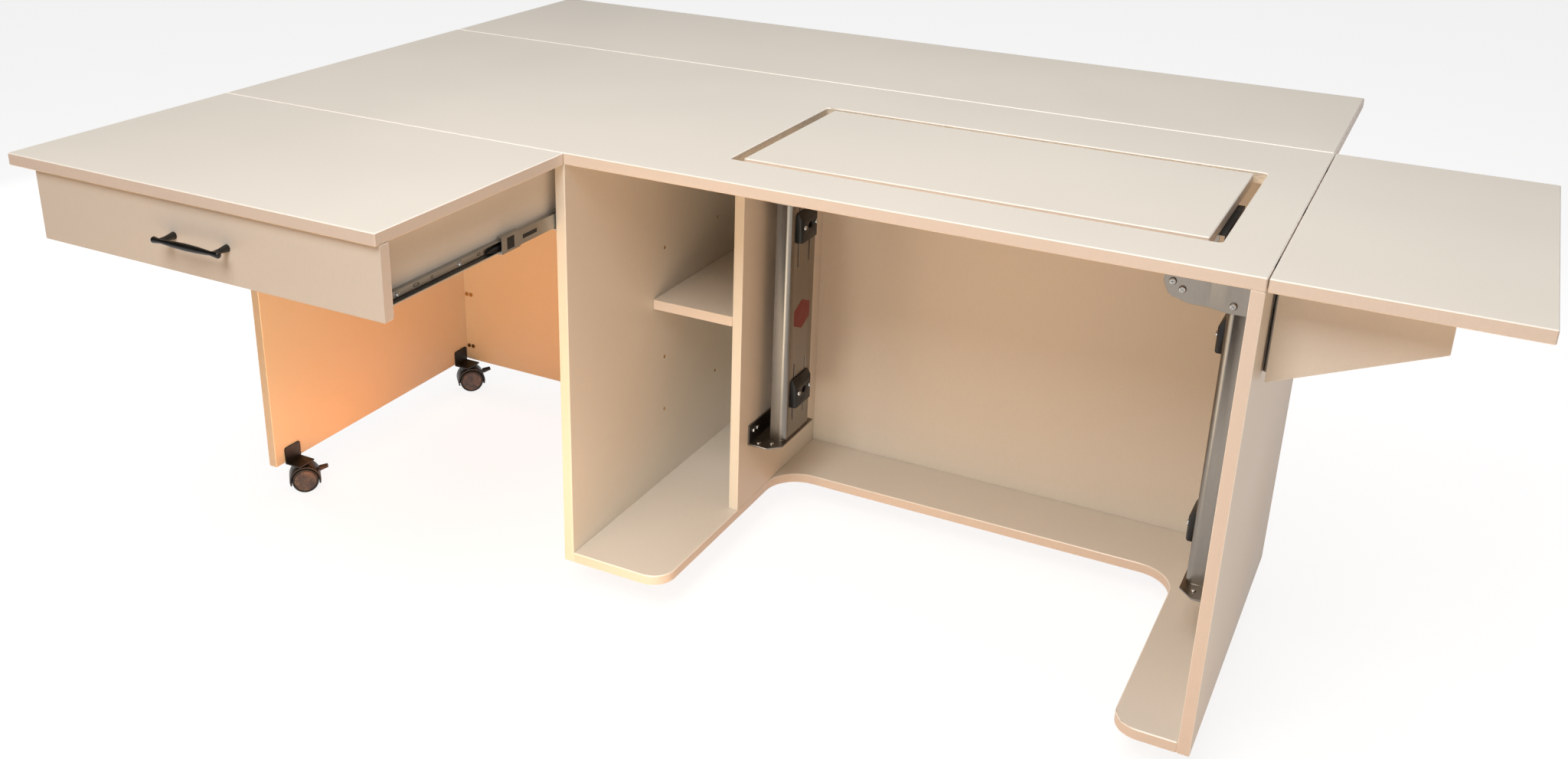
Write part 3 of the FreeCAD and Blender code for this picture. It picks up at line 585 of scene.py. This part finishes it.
punching = drum(24, 0.0024, 0.0006)
pick(punching, lambda face: face.normal.z > square)
bpy.ops.mesh.inset(thickness=0.0007)
press(0.0004)
settle(punching, 0.0001)
punching.data.materials.append(black)
punch_spots = [spot((inner_web, inner_front + along, slide_axis), outwards)
               @ Matrix.Diagonal((stretch, 1, 1, 1))
               for along, stretch in ((0.068, 2.6), (0.102, 1), (0.21, 1.6))]
copies("slide_punchings", punching, mirrored(punch_spots), "drawer")
bpy.data.objects.remove(punching)

# A black strip along the inner member below the screws: painted shade standing for the shaded
# groove between the web and the lower flange.
link = slide_brick(inner_web, inner_front, (-0.0002, 0.0012), (0.004, 0.224), (-0.0066, -0.0056))
pick(link, lambda face: face.normal.y > square)
pull(0, 0.006, 0.003)
both_slides("slide_groove_shade_strips", settle(link, 0.0002, 2), "drawer", black)

lever = slide_brick(inner_web, inner_front, (-0.0002, 0.0055), (0.236, 0.272), (-0.0072, 0.0012))
pick(lever, lambda face: face.normal.y < -square)
pull(0, -0.011, 0)
bpy.ops.transform.resize(value=(0.6, 1, 0.35))
pick(lever, lambda face: face.normal.x > square)
bpy.ops.mesh.inset(thickness=0.0015)
press(0.0012)
both_slides("slide_release_levers", settle(lever, 0.0005, 2), "drawer", black)

clip_half = 0.0122
clip_lip = 0.0012
clip_hook = 0.0078
clip = slide_brick(middle_web, middle_front, (0, 0.0002), (-0.0004, 0.046),
                   (-clip_half, clip_half))
for way in (-1, 1):
    pick(clip, lambda face: face.normal.z * way > square)
    pull(0, 0, clip_lip * way)
pick(clip, lambda face: face.normal.x < -square and abs(face.center.z - slide_axis) > clip_half)
pull(-clip_hook, 0, 0)
both_slides("slide_clips", settle(clip), "slide_middle", slide_steel)

for name, across, along, up in (
        ("slide_clip_inserts", (0.0001, 0.0003), (0.013, 0.031), (-0.0095, 0.0095)),
        ("slide_slots", (-0.0002, 0.0002), (0.053, 0.09), (-0.0035, 0.003))):
    pad = slide_brick(middle_web, middle_front, across, along, up)
    pick(pad, lambda face: face.normal.x > square)
    bpy.ops.mesh.inset(thickness=0.001)
    both_slides(name, settle(pad), "slide_middle", black)


# Black part seen through the gap at the platform's right end: a strip with a turned-down lip
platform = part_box("lift_platform")
strip_start = platform[1].x - 0.02
strip_end = platform[1].x + 0.0078
strip_front = -0.105
strip_back = 0.045
strip_low = platform[0].z - 0.0018
strip_high = platform[0].z - 0.0003
lip_thickness = 0.0012
lip_drop = 0.012
strip = brick((strip_start, strip_front, strip_low), (strip_end, strip_back, strip_high))
pick(strip, lambda face: face.normal.x > square)
pull(lip_thickness, 0, 0)
pick(strip, lambda face: face.normal.z < -square and face.center.x > strip_end)
pull(0, 0, -lip_drop)
settle(strip, 0.0002, 2)
strip.data.materials.append(black)
strip.name = "lift_edge_strip"
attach(strip, "lift")


# Red patch on the left post: a flat hexagon with upright sides
patch_depth = 0.036
patch_height = 0.0275
patch_thickness = 0.0003
patch_x = post_left[0].x + 0.055
patch_y = post_left[0].y + 0.0915
patch_z = 0.4325
patch = start(bpy.ops.mesh.primitive_circle_add, vertices=6, radius=1, fill_type="NGON")
pick(patch, lambda face: True)
pull(0, 0, patch_thickness)
settle(patch)
patch.data.materials.append(red)
patch_place = Matrix(((0, 0, 1, patch_x), (patch_depth, 0, 0, patch_y),
                      (0, patch_height, 0, patch_z), (0, 0, 0, 1)))
copies("red_patch", patch, [patch_place], "carcass")
bpy.data.objects.remove(patch)


# Twin caster wheels: round treads with a raised, mottled disc on each outer face
wheel_radius = 0.025
wheel_near = 0.0045
wheel_width = 0.0145
tread_round = 0.0024
disc_radius = wheel_radius - 0.0038
axle_radius = 0.003
axle_length = 2 * wheel_near + 0.002
disc_steps = ((0.0008, 0), (0.0002, -0.0009), (0.0007, 0), (0.0006, 0.0006),
              (0.004, 0.0002), (0.006, 0.0001))
wheel = drum(64, wheel_radius, wheel_width, wheel_near + wheel_width / 2)
pick(wheel, lambda face: abs(face.normal.z) > square)
bpy.ops.mesh.bevel(offset=tread_round, segments=4, affect="EDGES")
pick(wheel, lambda face: face.normal.z > dead_flat)
for inwards, lift in disc_steps:
    bpy.ops.mesh.inset(thickness=inwards, depth=lift)
settle(wheel)
wheel.data.materials.append(tread)
wheel.data.materials.append(disc)
for face in wheel.data.polygons:
    if face.normal.z > 0.5 and face.center.xy.length < disc_radius:
        face.material_index = 1
axle = drum(24, axle_radius, axle_length)
pick(axle, lambda face: abs(face.normal.z) > square)
bpy.ops.mesh.inset(thickness=0.0008)
settle(axle)
axle.data.materials.append(bright)
for name in nodes:
    if name.startswith("caster_wheels_"):
        roll = joints["roll_" + name[len("caster_wheels_"):]]
        turn = spot(roll["pos_m"], roll["axis"])
        body = nodes[name]["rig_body"]
        pair = copies(name + "_finish", wheel, [turn, turn @ Matrix.Diagonal((1, 1, -1, 1))], body)
        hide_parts(name)
        copies(name + "_axle", axle, [turn], body)
bpy.data.objects.remove(wheel)
bpy.data.objects.remove(axle)


# Floor, light and camera

def floor_paint():
    """A floor that looks white with a soft shadow and throws warm light on the part."""
    paint = Paint("pale_floor", Roughness=0.9)
    camera_ray = paint.node("ShaderNodeLightPath", out="Is Camera Ray")
    glossy_ray = paint.node("ShaderNodeLightPath", out="Is Glossy Ray")
    seen = camera_ray + glossy_ray
    paint.feed(Base_Color=paint.blend(seen, rgb(248, 198, 152), (0.93, 0.93, 0.93, 1)))
    glow = paint.node("ShaderNodeEmission", None, {"Color": (1, 1, 1, 1), "Strength": 1.15})
    lit = Value(paint, paint.shader.outputs[0])
    mix = paint.node("ShaderNodeMixShader", None, {0: seen * 0.75, 1: lit, 2: glow})
    paint.join(paint.tree.nodes["Material Output"].inputs["Surface"], mix)
    return paint.material


bpy.ops.object.select_all(action="DESELECT")
bpy.ops.mesh.primitive_plane_add(size=60, location=(0, 0, -0.0005))
floor = bpy.context.object
floor.name = "studio_floor"
floor.data.materials.append(floor_paint())

# A dim room that the camera sees as a pale backdrop
world = bpy.data.worlds.new("studio")
bpy.context.scene.world = world
world.use_nodes = True
sky = world.node_tree
room = sky.nodes["Background"]
room.inputs["Color"].default_value = (1, 0.985, 0.965, 1)
room.inputs["Strength"].default_value = 0.05
backdrop = sky.nodes.new("ShaderNodeBackground")
backdrop.inputs["Color"].default_value = (0.87, 0.87, 0.87, 1)
in_view = sky.nodes.new("ShaderNodeLightPath")
choice = sky.nodes.new("ShaderNodeMixShader")
sky.links.new(in_view.outputs["Is Camera Ray"], choice.inputs[0])
sky.links.new(room.outputs[0], choice.inputs[1])
sky.links.new(backdrop.outputs[0], choice.inputs[2])
sky.links.new(choice.outputs[0], sky.nodes["World Output"].inputs["Surface"])


def area_light(name, place, target, size, power, colour, glare=True):
    """A soft square lamp aimed at a point; without glare it shows in no reflection."""
    lamp = bpy.data.lights.new(name, "AREA")
    lamp.size = size
    lamp.energy = power
    lamp.color = colour
    holder = bpy.data.objects.new(name, lamp)
    holder.location = place
    holder.rotation_euler = (Vector(target) - Vector(place)).to_track_quat("-Z", "Y").to_euler()
    holder.visible_camera = False
    holder.visible_glossy = glare
    bpy.context.scene.collection.objects.link(holder)


neutral = (1, 0.97, 0.93)
area_light("ceiling_lamp", (0.1, 0.2, 3.6), (0, 0.1, 0.5), 3.0, 72, (1, 0.985, 0.965))
area_light("front_lamp", (0.15, -2.3, 2.9), (0.2, 0, 0.3), 1.4, 67, (1, 0.945, 0.88))
area_light("floor_bounce", (0.55, -1.5, 0.1), (0.1, 0.3, 0.4), 1.2, 3.0, (1, 0.9, 0.8))
area_light("side_lamp", (2.4, -0.1, 1.3), (0.7, 0, 0.4), 0.8, 2, (1, 1, 1))
area_light("wing_lamp", (1.3, -0.3, 0.02), (0.9, 0.1, 0.6), 0.8, 2.6, (1, 1, 0.85))
area_light("warm_lamp", (-0.7, -0.75, 0.08), (-0.8, 0.15, 0.4), 0.5, 2.3, (1, 0.7, 0.3))
area_light("warm_floor_lamp", (-0.7, -0.1, 0.012), (-0.7, -0.05, 0.5), 0.5, 1.5, (1, 0.26, 0.02))
area_light("bay_lamp", (-0.05, -0.75, 0.12), (-0.2, 0.2, 0.25), 0.3, 1.7, (1, 0.86, 0.64))
area_light("back_lamp", (-0.1, 2.5, 0.38), (-0.1, 0.3, 0.38), 0.7, 15, neutral)
area_light("left_lamp", (-3.0, 0.3, 0.9), (-0.8, 0.1, 0.35), 1.2, 16, neutral, False)

lens = bpy.data.cameras.new("photo_camera")
lens.sensor_fit = "HORIZONTAL"
lens.sensor_width = 36
lens.lens = 33.7891
lens.shift_x = 0.02452
lens.shift_y = -0.05464
camera = bpy.data.objects.new("photo_camera", lens)
camera.location = (0.904174, -2.111184, 1.431044)
camera.rotation_euler = [math.radians(turn) for turn in (68.24775, -1.29549, 27.4354)]
bpy.context.scene.collection.objects.link(camera)
bpy.context.scene.camera = camera
bpy.context.scene.view_settings.view_transform = "Standard"
